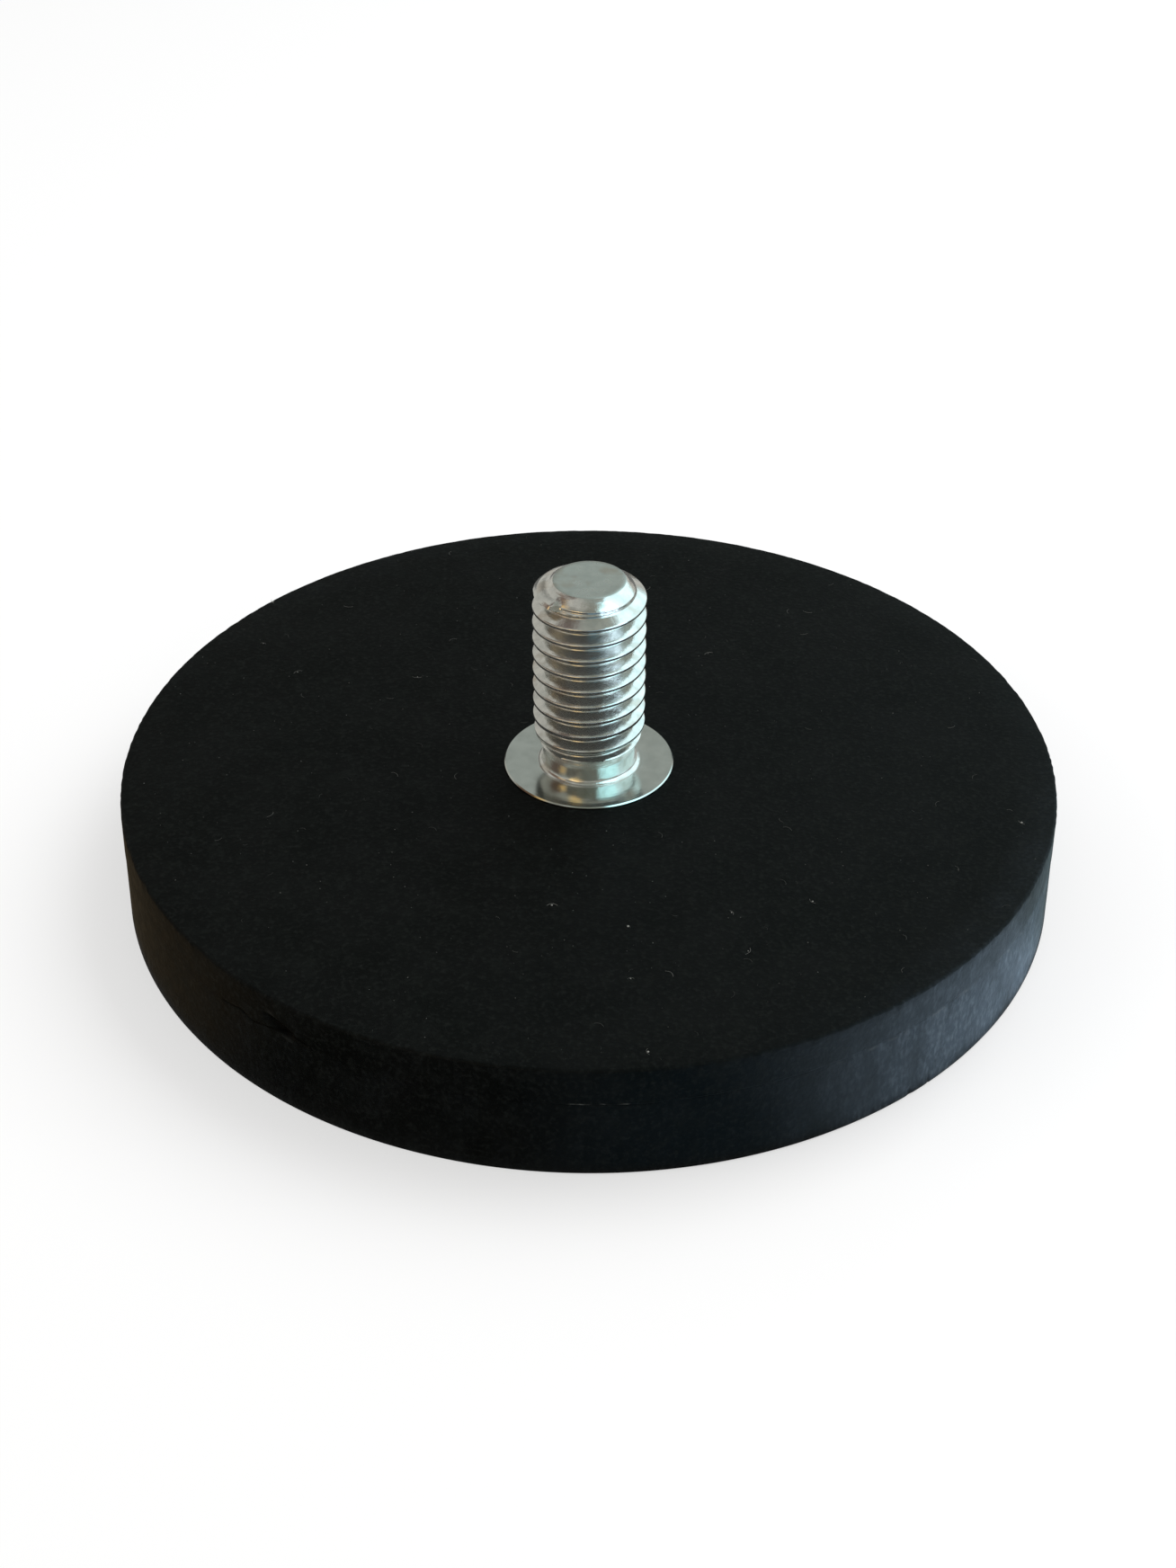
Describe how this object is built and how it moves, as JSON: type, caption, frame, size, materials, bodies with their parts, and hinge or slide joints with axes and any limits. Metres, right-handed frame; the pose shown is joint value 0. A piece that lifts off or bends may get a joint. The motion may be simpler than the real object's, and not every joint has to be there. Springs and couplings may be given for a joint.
{
  "type": "pot magnet",
  "caption": "Round flat pot magnet in a moulded black rubber jacket, with a zinc-plated M8 threaded stud and flange standing from its middle.",
  "frame": {"origin": "centre of the holding face, the rubber underside that goes against steel", "axes": "+Z along the stud, away from the holding face; X and Y are alike, because the outside is round about Z"},
  "size_m": [0.066, 0.066, 0.0235],
  "materials": {
    "jacket_rubber": "matt moulded black rubber",
    "zinc_plated_steel": "bright zinc plated",
    "yoke_steel": "stamped, bare",
    "magnet_nickel": "nickel plated sintered magnet"
  },
  "bodies": {
    "root": {"rubber_jacket": "jacket_rubber", "threaded_stud": "zinc_plated_steel", "yoke_plate": "yoke_steel", "magnet_outer_01": "magnet_nickel", "magnet_outer_02": "magnet_nickel", "magnet_outer_03": "magnet_nickel", "magnet_outer_04": "magnet_nickel", "magnet_outer_05": "magnet_nickel", "magnet_outer_06": "magnet_nickel", "magnet_outer_07": "magnet_nickel", "magnet_outer_08": "magnet_nickel", "magnet_outer_09": "magnet_nickel", "magnet_outer_10": "magnet_nickel", "magnet_outer_11": "magnet_nickel", "magnet_outer_12": "magnet_nickel", "magnet_inner_01": "magnet_nickel", "magnet_inner_02": "magnet_nickel", "magnet_inner_03": "magnet_nickel", "magnet_inner_04": "magnet_nickel", "magnet_inner_05": "magnet_nickel", "magnet_inner_06": "magnet_nickel"}
  },
  "joints": []
}
